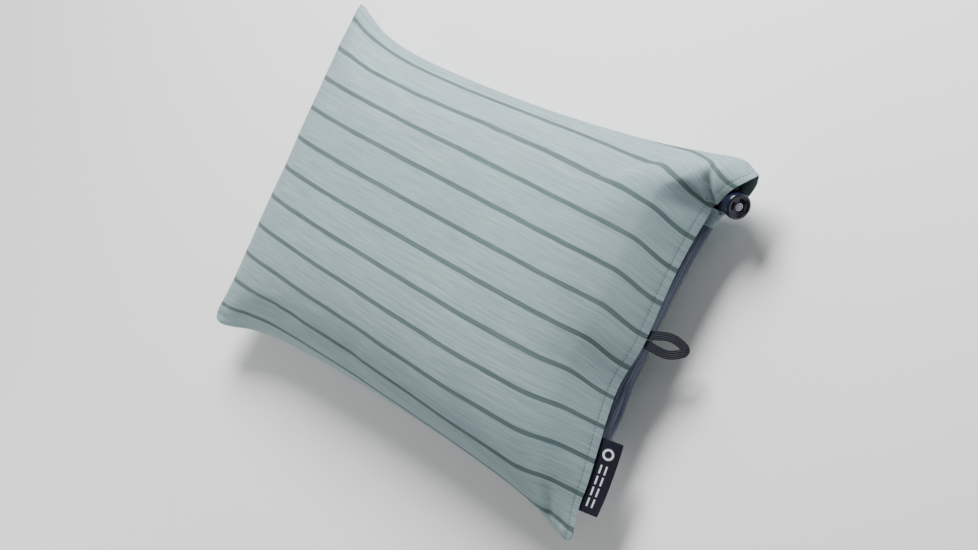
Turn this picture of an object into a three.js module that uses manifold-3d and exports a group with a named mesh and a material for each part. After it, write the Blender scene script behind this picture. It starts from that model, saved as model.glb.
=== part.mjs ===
// Camp pillow: a knit cover over a foam-topped air core with a twist valve in one corner.
// Millimetres. +X runs to the mouth end, +Y to the valve side, +Z up. The underside rests on Z = 0.
import * as THREE from "three";
import { mergeVertices } from "three/addons/utils/BufferGeometryUtils.js";
import Module from "manifold-3d";

// Whole pillow
const COVER_LENGTH = 456;
const COVER_WIDTH = 297;
const SEAM_HEIGHT = 40;
const CROWN_RISE = 58;
const UNDERSIDE_DROP = 46.5;

// How far inflation draws each side seam in from the full width, from the sewn end (-1) to the mouth (1)
const VALVE_SIDE_PULL = [
  [-1, 3],
  [-0.9, 13],
  [-0.75, 21.5],
  [-0.55, 24.5],
  [-0.3, 23],
  [0, 19.5],
  [0.3, 15],
  [0.6, 11],
  [0.85, 5.5],
  [1, 2],
];
const LABEL_SIDE_PULL = [
  [-1, -3],
  [-0.9, 0.5],
  [-0.75, 8.5],
  [-0.55, 14.5],
  [-0.2, 18.5],
  [0.2, 19],
  [0.6, 16.5],
  [0.85, 9.5],
  [1, 2],
];
const SEWN_END_PULL = 11;
const MOUTH_END_PULL = 17.5;

// Roundness of the inflated faces
const SEWN_END_FULLNESS = 3.1;
const MOUTH_END_FULLNESS = 4.3;
const SIDE_FULLNESS = 2.7;
const EDGE_ROUNDNESS = 0.6;

// Hood of cover fabric over the valve
const HOOD_RISE = 17;
const HOOD_DROP = 15;
const HOOD_SIDE_FLARE = 14;
const HOOD_END_FLARE = 9;

// Fabrics and films
const COVER_THICKNESS = 1;
const FLAP_THICKNESS = 1;
const FLAP_SLACK = 1.3;
const BINDING_THICKNESS = 1;
const FILM_THICKNESS = 0.8;
const BAFFLE_THICKNESS = 0.9;
const BAFFLE_COUNT = 4;
const BAFFLE_SLACK = 1.6;
const FOAM_CROWN_THICKNESS = 14;
const LAYER_GAP = 0.8;
const CLEARANCE = 0.3;

// Room left between the air core's welded edge and the cover's seams
const CORE_END_ROOM = 15;
const CORE_SIDE_ROOM = 13.5;

// Closing flap between the two mouth hems
const TOP_HEM = 0.985;
const BOTTOM_HEM = 0.95;
const FLAP_FROM_LABEL_CORNER = 26.5;
const FLAP_FROM_VALVE_CORNER = 46.5;
const FLAP_LOW_Y = -COVER_WIDTH / 2 + FLAP_FROM_LABEL_CORNER;
const FLAP_HIGH_Y = COVER_WIDTH / 2 - FLAP_FROM_VALVE_CORNER;
const BINDING_WIDTH = 13;

// Hang loop
const LOOP_Y = 14;
const LOOP_REACH = 36;
const LOOP_WIDTH = 19.6;
const LOOP_EYE_LENGTH = 21;
const LOOP_EYE_WIDTH = 6.2;
const LOOP_THICKNESS = 2;
const LOOP_DROOP = 24;
const LOOP_SKEW = 10;

// Side label
const LABEL_LENGTH = 56;
const LABEL_WIDTH = 17;
const LABEL_THICKNESS = 1.2;
const LABEL_FROM_CORNER = 55.5;
const LABEL_Y = -COVER_WIDTH / 2 + LABEL_FROM_CORNER;
const LABEL_DROOP = 22;
const LABEL_SLANT = 6;

// Twist valve: its face centre in the corner, and its axis turned inward and tipped up
const VALVE_PAST_END = 8;
const VALVE_FROM_SIDE = 19.5;
const VALVE_ABOVE_SEAM = 3;
const VALVE_FACE = [
  COVER_LENGTH / 2 + VALVE_PAST_END,
  COVER_WIDTH / 2 - VALVE_FROM_SIDE,
  SEAM_HEIGHT + VALVE_ABOVE_SEAM,
];
const VALVE_TIP_UP = 17;
const VALVE_TURN_IN = 6;
const NECK_BORE = 4.9;
const NECK_WALL = 1.7;
const NECK_RADIUS = NECK_BORE + NECK_WALL;
const NECK_LENGTH = 19;
const NECK_START = 4.6;
const SKIRT_GAP = 1.7;
const KNOB_WALL = 1.9;
const KNOB_RADIUS = NECK_RADIUS + SKIRT_GAP + KNOB_WALL;
const KNOB_DEPTH = 9.5;
const RIM_WIDTH = 3.1;
const FACE_THICKNESS = 1.8;
const FACE_RECESS = 1.3;
const FACE_RADIUS = KNOB_RADIUS - RIM_WIDTH;
const FACE_HOLE_RADIUS = 2.6;
const BADGE_RADIUS = 3.4;
const BADGE_THICKNESS = 0.7;
const SLOT_INNER_RADIUS = 4.3;
const SLOT_OUTER_RADIUS = FACE_RADIUS - 1.2;
const SLOT_SWEEP = 72;
const SLOT_COUNT = 3;
const SLOT_START = 40;
const BOAT_WING = 6.4;
const BOAT_WALL = 0.87;
const BOAT_DEPTH = 7;
const SEAT_THICKNESS = 1.2;
const SEAT_BORE = 3.1;
const STEM_RADIUS = 2.6;
const SHOULDER_RADIUS = 3.6;
const KEY_WIDTH = 1.6;
const KEY_HEIGHT = 1.2;
const POPPET_RADIUS = NECK_BORE - 0.5;
const POPPET_THICKNESS = 1.6;
const SPIGOT_RADIUS = 2.4;
const RING_RADIUS = 0.8;
const RUNNING_GAP = 0.35;
const BRIDGE_START = 9.5;
const BRIDGE_DEPTH = 3;

// Mesh fineness
const LENGTH_STEPS = 18;
const WIDTH_STEPS = 16;
const ROUND_STEPS = 28;

const wasm = await Module();
wasm.setup();

const group = new THREE.Group();
const radians = THREE.MathUtils.degToRad;
const clamp = THREE.MathUtils.clamp;
const smooth = THREE.MathUtils.smoothstep;

function fabricMaterial(color) {
  return new THREE.MeshStandardMaterial({ color, roughness: 0.9, metalness: 0 });
}

function plasticMaterial(color) {
  return new THREE.MeshStandardMaterial({ color, roughness: 0.25, metalness: 0 });
}

const stripedKnit = fabricMaterial(0xa1b0b3);
const navyKnit = fabricMaterial(0x4b5566);
const satin = fabricMaterial(0x798e96);
const webbing = fabricMaterial(0x2a3145);
const labelTape = fabricMaterial(0x181c2c);
const foam = fabricMaterial(0xd9dccf);
const film = fabricMaterial(0x8c9297);
const hardPlastic = plasticMaterial(0x161a28);
const rubber = plasticMaterial(0x30323a);
const badgePlastic = plasticMaterial(0xdfe3e8);

function addPart(name, geometry, material) {
  const mesh = new THREE.Mesh(geometry, material);
  mesh.name = name;
  group.add(mesh);
  return mesh;
}

// Solid booleans
function solidOf(geometry) {
  const plain = geometry.clone();
  plain.deleteAttribute("normal");
  plain.deleteAttribute("uv");
  const merged = mergeVertices(plain, 1e-4);
  const mesh = new wasm.Mesh({
    numProp: 3,
    vertProperties: new Float32Array(merged.attributes.position.array),
    triVerts: new Uint32Array(merged.index.array),
  });
  return new wasm.Manifold(mesh);
}

function geometryOf(solid) {
  const mesh = solid.getMesh();
  const geometry = new THREE.BufferGeometry();
  geometry.setAttribute("position", new THREE.BufferAttribute(mesh.vertProperties, 3));
  geometry.setIndex(new THREE.BufferAttribute(mesh.triVerts, 1));
  geometry.computeVertexNormals();
  return geometry;
}

// A closed skin between two grids of points that share their rows and columns.
// The outer grid's faces point away from the inner grid when its rows and columns turn right-handed.
function skinBetween(outer, inner) {
  const rows = outer.length;
  const columns = outer[0].length;
  const points = [...outer.flat(), ...inner.flat()];
  const innerStart = rows * columns;
  const faces = [];
  const at = (layer, row, column) => layer * innerStart + row * columns + column;
  const quad = (a, b, c, d) => faces.push(a, b, c, a, c, d);
  for (let i = 0; i < rows - 1; i += 1) {
    for (let j = 0; j < columns - 1; j += 1) {
      quad(at(0, i, j), at(0, i + 1, j), at(0, i + 1, j + 1), at(0, i, j + 1));
      quad(at(1, i, j), at(1, i, j + 1), at(1, i + 1, j + 1), at(1, i + 1, j));
    }
  }
  for (let i = 0; i < rows - 1; i += 1) {
    quad(at(0, i + 1, 0), at(0, i, 0), at(1, i, 0), at(1, i + 1, 0));
    quad(at(0, i, columns - 1), at(0, i + 1, columns - 1), at(1, i + 1, columns - 1), at(1, i, columns - 1));
  }
  for (let j = 0; j < columns - 1; j += 1) {
    quad(at(0, 0, j), at(0, 0, j + 1), at(1, 0, j + 1), at(1, 0, j));
    quad(at(0, rows - 1, j + 1), at(0, rows - 1, j), at(1, rows - 1, j), at(1, rows - 1, j + 1));
  }
  const geometry = new THREE.BufferGeometry();
  geometry.setAttribute("position", new THREE.Float32BufferAttribute(points.flat(), 3));
  geometry.setIndex(faces);
  geometry.computeVertexNormals();
  return geometry;
}

// Evenly eased steps from low to high, closer together at both ends.
function easedSteps(low, high, count) {
  const steps = [];
  for (let i = 0; i <= count; i += 1) {
    steps.push(low + (high - low) * (0.5 - 0.5 * Math.cos((Math.PI * i) / count)));
  }
  return steps;
}

const COVER = {
  halfLength: COVER_LENGTH / 2,
  halfWidth: COVER_WIDTH / 2,
  rise: CROWN_RISE,
  drop: UNDERSIDE_DROP,
  hood: 1,
};

const CORE = {
  halfLength: COVER_LENGTH / 2 - CORE_END_ROOM,
  halfWidth: COVER_WIDTH / 2 - CORE_SIDE_ROOM,
  rise: CROWN_RISE - COVER_THICKNESS - LAYER_GAP,
  drop: UNDERSIDE_DROP - COVER_THICKNESS - LAYER_GAP,
  hood: 0,
};

// How full the pillow is at s along its length and t across, from 0 on the seam to 1 at the crown.
function fullness(s, t) {
  const power = s < 0 ? SEWN_END_FULLNESS : MOUTH_END_FULLNESS;
  const along = Math.max(0, 1 - Math.abs(s) ** power);
  const across = Math.max(0, 1 - Math.abs(t) ** SIDE_FULLNESS);
  return (along * across) ** EDGE_ROUNDNESS;
}

// A smooth line through a few [place, value] stops.
function lineThrough(stops, place) {
  const next = clamp(stops.findIndex((stop) => stop[0] >= place), 1, stops.length - 1);
  const [x0, y0] = stops[next - 1];
  const [x1, y1] = stops[next];
  const before = stops[Math.max(0, next - 2)];
  const after = stops[Math.min(stops.length - 1, next + 1)];
  const run = x1 - x0;
  const slope0 = (y1 - before[1]) / (x1 - before[0]);
  const slope1 = (after[1] - y0) / (after[0] - x0);
  const w = clamp((place - x0) / run, 0, 1);
  const start = y0 * (1 + 2 * w) * (1 - w) ** 2;
  const end = y1 * w * w * (3 - 2 * w);
  return start + end + run * (slope0 * w * (1 - w) ** 2 - slope1 * w * w * (1 - w));
}

// How far the side seam nearer to t is drawn in; the two lines cross over gently near the middle.
function sidePull(s, t) {
  const share = smooth(t, -0.35, 0.35);
  return lineThrough(LABEL_SIDE_PULL, s) * (1 - share) + lineThrough(VALVE_SIDE_PULL, s) * share;
}

// A point of a pillow-shaped surface: side +1 is the upper face, -1 the underside.
function pillowPoint(size, side, s, t) {
  const sewnShare = ((1 - s) / 2) ** 2;
  const mouthShare = ((1 + s) / 2) ** 2;
  const endBow = 1 - Math.abs(t) ** 2.5;
  let x = size.halfLength * s;
  x += (SEWN_END_PULL * sewnShare - MOUTH_END_PULL * mouthShare) * endBow;
  let y = t * (size.halfWidth - sidePull(s, t));
  let height = (side > 0 ? size.rise : size.drop) * fullness(s, t);
  if (size.hood) {
    y += HOOD_SIDE_FLARE * smooth(s, 0.2, 0.93) * smooth(t, 0.5, 1);
    x += HOOD_END_FLARE * smooth(s, 0.75, 1) * smooth(t, 0.72, 0.96);
    const arch = Math.sin(Math.PI * clamp((t - 0.74) / 0.26, 0, 1)) ** 0.8;
    height += (side > 0 ? HOOD_RISE : HOOD_DROP) * arch * smooth(s, 0.6, 0.93);
  }
  return new THREE.Vector3(x, y, side * height);
}

// The same surface moved inward by inset. Heights are measured from the seam.
function insetPoint(size, side, s, t, inset) {
  const step = 0.004;
  const nearS = clamp(s, -0.992, 0.992);
  const nearT = clamp(t, -0.992, 0.992);
  const alongS = pillowPoint(size, side, nearS + step, nearT).sub(pillowPoint(size, side, nearS - step, nearT));
  const alongT = pillowPoint(size, side, nearS, nearT + step).sub(pillowPoint(size, side, nearS, nearT - step));
  const outward = alongS.cross(alongT).multiplyScalar(side).normalize();
  return pillowPoint(size, side, s, t).addScaledVector(outward, -inset);
}

// A grid of points on the surface, kept off the seam by rimGap and above the floor by floorGap.
function pillowGrid(size, side, inset, sSteps, tSteps, rimGap, floorGap) {
  return sSteps.map((s) =>
    tSteps.map((t) => {
      const p = insetPoint(size, side, s, t, inset);
      const height = Math.max(rimGap, side * p.z);
      const z = Math.max(floorGap, SEAM_HEIGHT + side * height);
      return [p.x, p.y, z];
    }),
  );
}

// A fabric or film panel of one thickness over one face of the pillow.
function panelSkin(size, side, inset, thickness, sEnd, rimGap) {
  const sSteps = easedSteps(-1, sEnd, LENGTH_STEPS);
  const tSteps = easedSteps(-1, 1, WIDTH_STEPS);
  const outer = pillowGrid(size, side, inset, sSteps, tSteps, rimGap, inset);
  const inner = pillowGrid(size, side, inset + thickness, sSteps, tSteps, rimGap, inset + thickness);
  return side > 0 ? skinBetween(outer, inner) : skinBetween(inner, outer);
}

const RIM_GAP = 0.25;

function addCover() {
  const top = panelSkin(COVER, 1, 0, COVER_THICKNESS, TOP_HEM, RIM_GAP);
  const bottom = panelSkin(COVER, -1, 0, COVER_THICKNESS, BOTTOM_HEM, RIM_GAP);
  addPart("cover_top_panel", top, stripedKnit);
  addPart("cover_bottom_panel", bottom, stripedKnit);
}

// The t of the cover at a place across the mouth, found by halving.
function acrossAt(y) {
  let low = -1;
  let high = 1;
  for (let i = 0; i < 30; i += 1) {
    const middle = (low + high) / 2;
    if (pillowPoint(COVER, 1, 1, middle).y < y) {
      low = middle;
    } else {
      high = middle;
    }
  }
  return (low + high) / 2;
}

// A strip that runs round the mouth end from under the top hem to inside the bottom hem.
function mouthStrip(yLow, yHigh, yCount, inset, thickness, topTuck, bottomTuck) {
  const flat = { ...COVER, hood: 0 };
  const places = [];
  const topSteps = 5;
  const bottomSteps = 6;
  for (let i = 0; i <= topSteps; i += 1) {
    places.push([1, topTuck + (0.9995 - topTuck) * (1 - (1 - i / topSteps) ** 2)]);
  }
  for (let i = 1; i <= bottomSteps; i += 1) {
    places.push([-1, 0.9995 - (0.9995 - bottomTuck) * (i / bottomSteps) ** 2]);
  }
  const rowAt = (y, depth) => {
    const t = acrossAt(y);
    return places.map(([side, s]) => {
      const p = insetPoint(flat, side, s, t, depth);
      const height = Math.max(0.1, side * p.z);
      return [p.x, p.y, SEAM_HEIGHT + side * height];
    });
  };
  const outer = [];
  const inner = [];
  for (let j = 0; j <= yCount; j += 1) {
    const y = yLow + ((yHigh - yLow) * j) / yCount;
    outer.push(rowAt(y, inset));
    inner.push(rowAt(y, inset + thickness));
  }
  return skinBetween(inner, outer);
}

function addMouthFlap() {
  const inset = COVER_THICKNESS + FLAP_SLACK;
  const flap = mouthStrip(FLAP_LOW_Y, FLAP_HIGH_Y, 16, inset, FLAP_THICKNESS, 0.93, 0.88);
  const lowEdge = FLAP_LOW_Y - CLEARANCE;
  const highEdge = FLAP_HIGH_Y + CLEARANCE;
  const lower = mouthStrip(lowEdge - BINDING_WIDTH, lowEdge, 3, inset, BINDING_THICKNESS, 0.94, 0.9);
  const upper = mouthStrip(highEdge, highEdge + BINDING_WIDTH, 3, inset, BINDING_THICKNESS, 0.94, 0.9);
  addPart("mouth_flap", flap, navyKnit);
  addPart("flap_binding_label_side", lower, satin);
  addPart("flap_binding_valve_side", upper, satin);
}

// Foot of a flat trim piece: where the mouth end of the cover reaches at this y.
function mouthReach(y) {
  return pillowPoint({ ...COVER, hood: 0 }, 1, 1, acrossAt(y)).x;
}

function addHangLoop() {
  const outline = new THREE.Shape();
  const half = LOOP_WIDTH / 2;
  outline.moveTo(0, -half * 0.8);
  outline.lineTo(LOOP_REACH * 0.35, -half);
  outline.lineTo(LOOP_REACH * 0.72, -half);
  outline.quadraticCurveTo(LOOP_REACH, -half * 0.8, LOOP_REACH, 0);
  outline.quadraticCurveTo(LOOP_REACH, half * 0.8, LOOP_REACH * 0.72, half);
  outline.lineTo(LOOP_REACH * 0.35, half);
  outline.lineTo(0, half * 0.8);
  outline.closePath();
  const eye = new THREE.Path();
  const eyeStart = LOOP_REACH - LOOP_EYE_LENGTH - (LOOP_WIDTH - LOOP_EYE_WIDTH) / 2;
  const eyeEnd = eyeStart + LOOP_EYE_LENGTH;
  const eyeHalf = LOOP_EYE_WIDTH / 2;
  eye.moveTo(eyeStart, 0);
  eye.lineTo(eyeStart + 5, eyeHalf);
  eye.lineTo(eyeEnd - 1, eyeHalf);
  eye.lineTo(eyeEnd, 0);
  eye.lineTo(eyeEnd - 1, -eyeHalf);
  eye.lineTo(eyeStart + 5, -eyeHalf);
  eye.closePath();
  outline.holes.push(eye);
  const loop = new THREE.ExtrudeGeometry(outline, { depth: LOOP_THICKNESS, bevelEnabled: false, curveSegments: 6 });
  loop.translate(0, 0, -LOOP_THICKNESS / 2);
  loop.rotateY(radians(LOOP_DROOP));
  loop.rotateZ(radians(LOOP_SKEW));
  loop.translate(mouthReach(LOOP_Y) + 0.6, LOOP_Y, SEAM_HEIGHT + 2);
  addPart("hang_loop", loop, webbing);
}

function addSideLabel() {
  const label = new THREE.BoxGeometry(LABEL_WIDTH, LABEL_LENGTH, LABEL_THICKNESS);
  label.translate(LABEL_WIDTH / 2, 0, 0);
  label.rotateY(radians(LABEL_DROOP));
  label.rotateZ(radians(LABEL_SLANT));
  label.translate(mouthReach(LABEL_Y) + 0.4, LABEL_Y, SEAM_HEIGHT + 2);
  addPart("side_label", label, labelTape);
}

function addFoam() {
  const topSize = CORE;
  const underSize = {
    ...CORE,
    halfLength: CORE.halfLength - 4,
    halfWidth: CORE.halfWidth - 4,
    rise: CORE.rise - FOAM_CROWN_THICKNESS,
  };
  const sSteps = easedSteps(-1, 1, LENGTH_STEPS);
  const tSteps = easedSteps(-1, 1, WIDTH_STEPS);
  const rim = RIM_GAP + FILM_THICKNESS + LAYER_GAP;
  const outer = pillowGrid(topSize, 1, 0, sSteps, tSteps, rim, 0);
  const inner = pillowGrid(underSize, 1, 0, sSteps, tSteps, rim, 0);
  return solidOf(skinBetween(outer, inner));
}

const BLADDER = {
  ...CORE,
  halfLength: CORE.halfLength - 5,
  halfWidth: CORE.halfWidth - 5,
  rise: CORE.rise - FOAM_CROWN_THICKNESS - LAYER_GAP,
};

function bladderSheet(side) {
  const sSteps = easedSteps(-1, 1, LENGTH_STEPS);
  const tSteps = easedSteps(-1, 1, WIDTH_STEPS);
  const floorGap = COVER_THICKNESS + LAYER_GAP;
  const outer = pillowGrid(BLADDER, side, 0, sSteps, tSteps, RIM_GAP, floorGap);
  const inner = pillowGrid(BLADDER, side, FILM_THICKNESS, sSteps, tSteps, RIM_GAP, floorGap + FILM_THICKNESS);
  return solidOf(side > 0 ? skinBetween(outer, inner) : skinBetween(inner, outer));
}

// The webs that hold the two air sheets together; air passes round their ends.
function addBaffles() {
  const floorGap = COVER_THICKNESS + LAYER_GAP + FILM_THICKNESS;
  for (let k = 0; k < BAFFLE_COUNT; k += 1) {
    const s = -0.6 + (1.2 * k) / (BAFFLE_COUNT - 1);
    const upper = [];
    const lower = [];
    for (let i = 0; i <= 14; i += 1) {
      const t = -0.8 + (1.6 * i) / 14;
      const top = insetPoint(BLADDER, 1, s, t, FILM_THICKNESS + BAFFLE_SLACK);
      const under = insetPoint(BLADDER, -1, s, t, FILM_THICKNESS + BAFFLE_SLACK);
      const underZ = Math.max(floorGap + BAFFLE_SLACK, SEAM_HEIGHT + under.z);
      upper.push(new THREE.Vector2(top.y, SEAM_HEIGHT + top.z));
      lower.push(new THREE.Vector2(under.y, underZ));
    }
    const shape = new THREE.Shape([...lower, ...upper.reverse()]);
    const web = new THREE.ExtrudeGeometry(shape, { depth: BAFFLE_THICKNESS, bevelEnabled: false });
    web.rotateX(Math.PI / 2);
    web.rotateZ(Math.PI / 2);
    web.translate(pillowPoint(BLADDER, 1, s, 0).x - BAFFLE_THICKNESS / 2, 0, 0);
    addPart("air_baffle_" + (k + 1), web, film);
  }
}

// Valve parts are drawn along +Z with the knob's face at 0, then turned onto the valve's axis.
function placeValve(geometry) {
  geometry.rotateY(radians(90 - VALVE_TIP_UP));
  geometry.rotateZ(radians(-VALVE_TURN_IN));
  geometry.translate(...VALVE_FACE);
  return geometry;
}

function turned(profile, steps = ROUND_STEPS) {
  const points = profile.map(([r, z]) => new THREE.Vector2(r, z));
  return new THREE.LatheGeometry([...points, points[0].clone()], steps);
}

// A lathe turns about Y, so it is stood up along +Z.
function turnedUp(profile, steps) {
  return turned(profile, steps).rotateX(Math.PI / 2);
}

function ringGeometry(radius, z) {
  return new THREE.TorusGeometry(radius, RING_RADIUS, 6, ROUND_STEPS).translate(0, 0, z);
}

function slotCutter(startDegrees) {
  const shape = new THREE.Shape();
  const start = radians(startDegrees);
  const end = radians(startDegrees + SLOT_SWEEP);
  shape.absarc(0, 0, SLOT_OUTER_RADIUS, start, end, false);
  shape.absarc(0, 0, SLOT_INNER_RADIUS, end, start, true);
  shape.closePath();
  const cutter = new THREE.ExtrudeGeometry(shape, { depth: 8, bevelEnabled: false, curveSegments: 8 });
  return solidOf(cutter.translate(0, 0, -5));
}

// The knob: a rounded rim, a sunk face with curved air slots, and a skirt over the neck.
function knobGeometry() {
  const faceTop = -FACE_RECESS;
  const faceUnder = faceTop - FACE_THICKNESS;
  const skirtInner = KNOB_RADIUS - KNOB_WALL;
  const profile = [
    [FACE_HOLE_RADIUS, faceUnder],
    [skirtInner, faceUnder],
    [skirtInner, -KNOB_DEPTH],
    [KNOB_RADIUS - 0.6, -KNOB_DEPTH],
    [KNOB_RADIUS, -KNOB_DEPTH + 0.7],
    [KNOB_RADIUS, -2.6],
    [KNOB_RADIUS - 0.35, -1.4],
    [KNOB_RADIUS - 1.1, -0.4],
    [KNOB_RADIUS - 1.9, 0],
    [FACE_RADIUS + 0.7, -0.15],
    [FACE_RADIUS, faceTop],
    [FACE_HOLE_RADIUS, faceTop],
  ];
  let knob = solidOf(turnedUp(profile));
  for (let k = 0; k < SLOT_COUNT; k += 1) {
    knob = knob.subtract(slotCutter(SLOT_START + (360 * k) / SLOT_COUNT));
  }
  return geometryOf(knob);
}

// Heights inside the valve, from the knob's face down to the inner end of the neck.
const NECK_END = -NECK_START - NECK_LENGTH;
const SEAT_TOP = NECK_END + SEAT_THICKNESS;
const SEAL_HEIGHT = SEAT_TOP + RUNNING_GAP + RING_RADIUS;
const POPPET_UNDER = SEAL_HEIGHT + RING_RADIUS + RUNNING_GAP;
const POPPET_TOP = POPPET_UNDER + POPPET_THICKNESS;
const BRIDGE_UNDER = NECK_END + BRIDGE_START;

// The stem slides without turning: its keys run in the neck's bridge.
function stemGeometry() {
  const shoulder = -FACE_RECESS - FACE_THICKNESS - RUNNING_GAP;
  const headTop = -FACE_RECESS - 0.05;
  const profile = [
    [0, SEAT_TOP + RUNNING_GAP],
    [SPIGOT_RADIUS, SEAT_TOP + RUNNING_GAP],
    [SPIGOT_RADIUS, POPPET_UNDER],
    [POPPET_RADIUS, POPPET_UNDER],
    [POPPET_RADIUS, POPPET_TOP],
    [STEM_RADIUS, POPPET_TOP],
    [STEM_RADIUS, shoulder - 1.6],
    [SHOULDER_RADIUS, shoulder - 1.6],
    [SHOULDER_RADIUS, shoulder],
    [FACE_HOLE_RADIUS - RUNNING_GAP, shoulder],
    [FACE_HOLE_RADIUS - RUNNING_GAP, headTop],
    [0, headTop],
  ];
  const keyStart = POPPET_TOP + 1;
  const keyLength = BRIDGE_UNDER + BRIDGE_DEPTH - keyStart + 1;
  const key = new THREE.BoxGeometry(2 * (STEM_RADIUS + KEY_HEIGHT), KEY_WIDTH, keyLength);
  key.translate(0, 0, keyStart + keyLength / 2);
  return geometryOf(solidOf(turnedUp(profile)).add(solidOf(key)));
}

// The fixed neck: a tube with a keyed bridge inside and a seat at its inner end.
function neckGeometry() {
  const tube = solidOf(
    turnedUp([
      [SEAT_BORE, NECK_END],
      [NECK_RADIUS, NECK_END],
      [NECK_RADIUS, -NECK_START],
      [NECK_BORE, -NECK_START],
      [NECK_BORE, SEAT_TOP],
      [SEAT_BORE, SEAT_TOP],
    ]),
  );
  const bridge = solidOf(
    turnedUp([
      [STEM_RADIUS + RUNNING_GAP, BRIDGE_UNDER],
      [NECK_BORE + 0.4, BRIDGE_UNDER],
      [NECK_BORE + 0.4, BRIDGE_UNDER + BRIDGE_DEPTH],
      [STEM_RADIUS + RUNNING_GAP, BRIDGE_UNDER + BRIDGE_DEPTH],
    ]),
  );
  const cutLength = 2 * (NECK_BORE + 1);
  const keySlot = 2 * (STEM_RADIUS + KEY_HEIGHT + RUNNING_GAP);
  const keyway = new THREE.BoxGeometry(keySlot, KEY_WIDTH + 2 * RUNNING_GAP, 3 * BRIDGE_DEPTH);
  const vent = new THREE.BoxGeometry(KEY_WIDTH * 2, cutLength, 3 * BRIDGE_DEPTH);
  const cutters = [keyway, vent].map((box) => solidOf(box.translate(0, 0, BRIDGE_UNDER)));
  const opened = bridge.subtract(cutters[0]).subtract(cutters[1]);
  return geometryOf(tube.add(opened));
}

// The eye-shaped boat that the two air sheets are welded round.
function boatShape(grow) {
  const shape = new THREE.Shape();
  const half = NECK_RADIUS + BOAT_WING + grow;
  const bulge = NECK_RADIUS + BOAT_WALL + grow;
  shape.moveTo(-half, 0);
  shape.quadraticCurveTo(-half * 0.45, -bulge, 0, -bulge);
  shape.quadraticCurveTo(half * 0.45, -bulge, half, 0);
  shape.quadraticCurveTo(half * 0.45, bulge, 0, bulge);
  shape.quadraticCurveTo(-half * 0.45, bulge, -half, 0);
  return shape;
}

// Drawn with its width across the pillow once it is placed.
function boatGeometry(grow) {
  const options = { depth: BOAT_DEPTH + 2 * grow, bevelEnabled: false, curveSegments: 8 };
  const boat = new THREE.ExtrudeGeometry(boatShape(grow), options);
  boat.rotateZ(Math.PI / 2);
  return boat.translate(0, 0, NECK_END - grow + 0.5);
}

function cylinderAlong(radius, low, high) {
  const body = new THREE.CylinderGeometry(radius, radius, high - low, ROUND_STEPS);
  return body.rotateX(Math.PI / 2).translate(0, 0, (low + high) / 2);
}

function addValve() {
  const socket = solidOf(cylinderAlong(NECK_RADIUS + CLEARANCE, NECK_END - 1, 20));
  const boat = solidOf(boatGeometry(0)).subtract(socket);
  const badgeTop = -FACE_RECESS + CLEARANCE + BADGE_THICKNESS;
  const badge = cylinderAlong(BADGE_RADIUS, -FACE_RECESS + CLEARANCE, badgeTop);
  addPart("valve_boat", placeValve(geometryOf(boat)), film);
  addPart("valve_neck", placeValve(neckGeometry()), hardPlastic);
  addPart("valve_stem", placeValve(stemGeometry()), hardPlastic);
  addPart("poppet_seal", placeValve(ringGeometry(SPIGOT_RADIUS + RING_RADIUS + RUNNING_GAP, SEAL_HEIGHT)), rubber);
  addPart("valve_knob", placeValve(knobGeometry()), hardPlastic);
  addPart("valve_badge", placeValve(badge), badgePlastic);
}

// Everything the valve needs clear of the soft layers inside.
function valveRoom() {
  const boat = solidOf(placeValve(boatGeometry(CLEARANCE + 0.1)));
  const neck = solidOf(placeValve(cylinderAlong(NECK_RADIUS + 0.6, NECK_END - 3, -KNOB_DEPTH)));
  const knob = solidOf(placeValve(cylinderAlong(KNOB_RADIUS + 0.8, -KNOB_DEPTH - 3, 1)));
  return boat.add(neck).add(knob);
}

function addCore() {
  const room = valveRoom();
  addPart("foam_pad", geometryOf(addFoam().subtract(room)), foam);
  addPart("air_sheet_top", geometryOf(bladderSheet(1).subtract(room)), film);
  addPart("air_sheet_bottom", geometryOf(bladderSheet(-1).subtract(room)), film);
  addBaffles();
}

addCover();
addMouthFlap();
addHangLoop();
addSideLabel();
addCore();
addValve();

export default group;
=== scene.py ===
import math

import bmesh
import bpy
import numpy as np
from mathutils import Matrix, Vector
from mathutils.bvhtree import BVHTree


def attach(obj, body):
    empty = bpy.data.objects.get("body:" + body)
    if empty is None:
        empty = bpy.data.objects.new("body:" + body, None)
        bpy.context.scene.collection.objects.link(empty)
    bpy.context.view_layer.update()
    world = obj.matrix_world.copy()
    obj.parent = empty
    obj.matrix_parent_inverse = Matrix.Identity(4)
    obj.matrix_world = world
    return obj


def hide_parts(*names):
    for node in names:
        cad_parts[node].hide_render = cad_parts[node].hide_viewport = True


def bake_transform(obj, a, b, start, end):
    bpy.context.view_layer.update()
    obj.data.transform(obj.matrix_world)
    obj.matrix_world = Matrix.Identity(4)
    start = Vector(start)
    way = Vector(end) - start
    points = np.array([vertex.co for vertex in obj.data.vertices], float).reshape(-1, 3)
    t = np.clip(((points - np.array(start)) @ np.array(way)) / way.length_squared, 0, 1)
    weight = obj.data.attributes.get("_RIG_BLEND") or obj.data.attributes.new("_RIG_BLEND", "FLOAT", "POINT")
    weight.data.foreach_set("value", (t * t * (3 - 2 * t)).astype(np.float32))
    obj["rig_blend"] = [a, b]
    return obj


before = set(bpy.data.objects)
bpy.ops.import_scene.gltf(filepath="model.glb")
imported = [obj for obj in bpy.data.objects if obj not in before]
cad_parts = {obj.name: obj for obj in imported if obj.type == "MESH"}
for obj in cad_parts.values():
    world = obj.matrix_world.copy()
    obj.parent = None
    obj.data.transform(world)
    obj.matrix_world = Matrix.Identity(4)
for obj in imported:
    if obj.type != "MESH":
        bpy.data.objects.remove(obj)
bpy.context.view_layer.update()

MM = 0.001
SEAM = 0.040

# ---------------------------------------------------------------- camera, floor and light


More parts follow.
